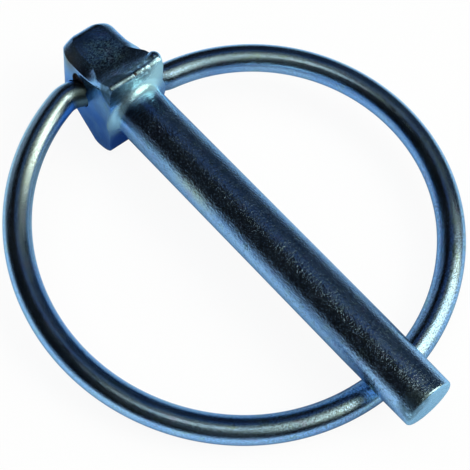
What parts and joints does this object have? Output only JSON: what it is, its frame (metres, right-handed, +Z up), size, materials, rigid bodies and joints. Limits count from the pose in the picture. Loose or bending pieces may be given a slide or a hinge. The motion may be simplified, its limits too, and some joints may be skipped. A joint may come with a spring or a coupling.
{
  "type": "lynch pin",
  "caption": "Forged pin with a bell-shaped head and a flat shoulder; a spring-wire ring hinges in a slanted hole in the head and closes against the shank.",
  "frame": {"origin": "on the shank's axis, 2 mm in front of the shoulder's front face, where the plain shank starts", "axes": "+X along the shank from the shoulder to the tip; +Z up as the pin lies on a table with its ring closed under the shank; the ring's hole runs roughly along Y, slanted 26 degrees towards +X on the +Y side"},
  "size_m": [0.0548, 0.047, 0.0127],
  "materials": {
    "pin": "bright zinc plate with a bluish passivation over a grainy forged surface",
    "ring": "bright zinc plate with a bluish passivation over smooth drawn wire"
  },
  "bodies": {
    "pin": {"pin": "pin"},
    "ring": {"ring": "ring"}
  },
  "joints": [
    {"name": "ring_swing", "type": "hinge", "parent": "pin", "child": "ring", "pos_m": [-0.00585, 0, -0.0005], "axis": [0.4364, 0.8994, -0.0258], "range_deg": [0, 346]}
  ]
}
